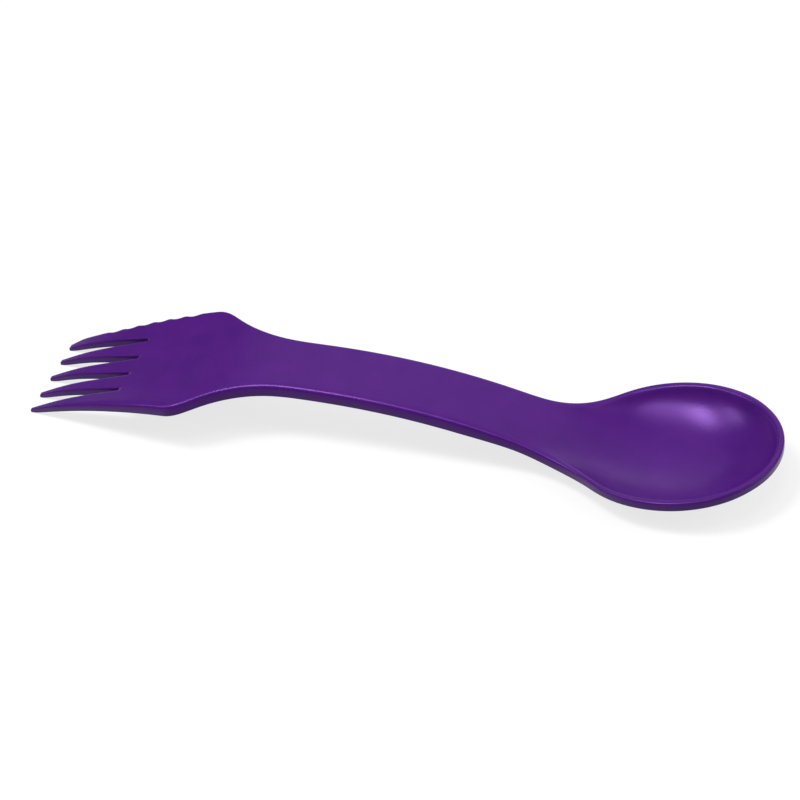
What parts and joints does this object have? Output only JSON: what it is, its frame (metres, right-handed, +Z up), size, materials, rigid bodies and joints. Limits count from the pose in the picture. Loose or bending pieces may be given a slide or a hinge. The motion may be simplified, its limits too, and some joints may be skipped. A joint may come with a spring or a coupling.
{
  "type": "spork",
  "caption": "Moulded plastic spork: spoon bowl at one end, tined fork with a serrated outer edge at the other, joined by an arched flat handle.",
  "frame": {"origin": "middle of the spork's length and width, on the plane that it rests on", "axes": "+X from the tine tips towards the bowl, +Y towards the serrated side, +Z up out of the open bowl"},
  "size_m": [0.17, 0.039, 0.0156],
  "materials": {
    "moulded_plastic": "satin, deep purple, coloured through"
  },
  "bodies": {
    "root": {"plain_tine": "moulded_plastic", "inner_tine_1": "moulded_plastic", "inner_tine_2": "moulded_plastic", "inner_tine_3": "moulded_plastic", "serrated_tine": "moulded_plastic", "palm": "moulded_plastic", "handle": "moulded_plastic", "bowl": "moulded_plastic"}
  },
  "joints": []
}
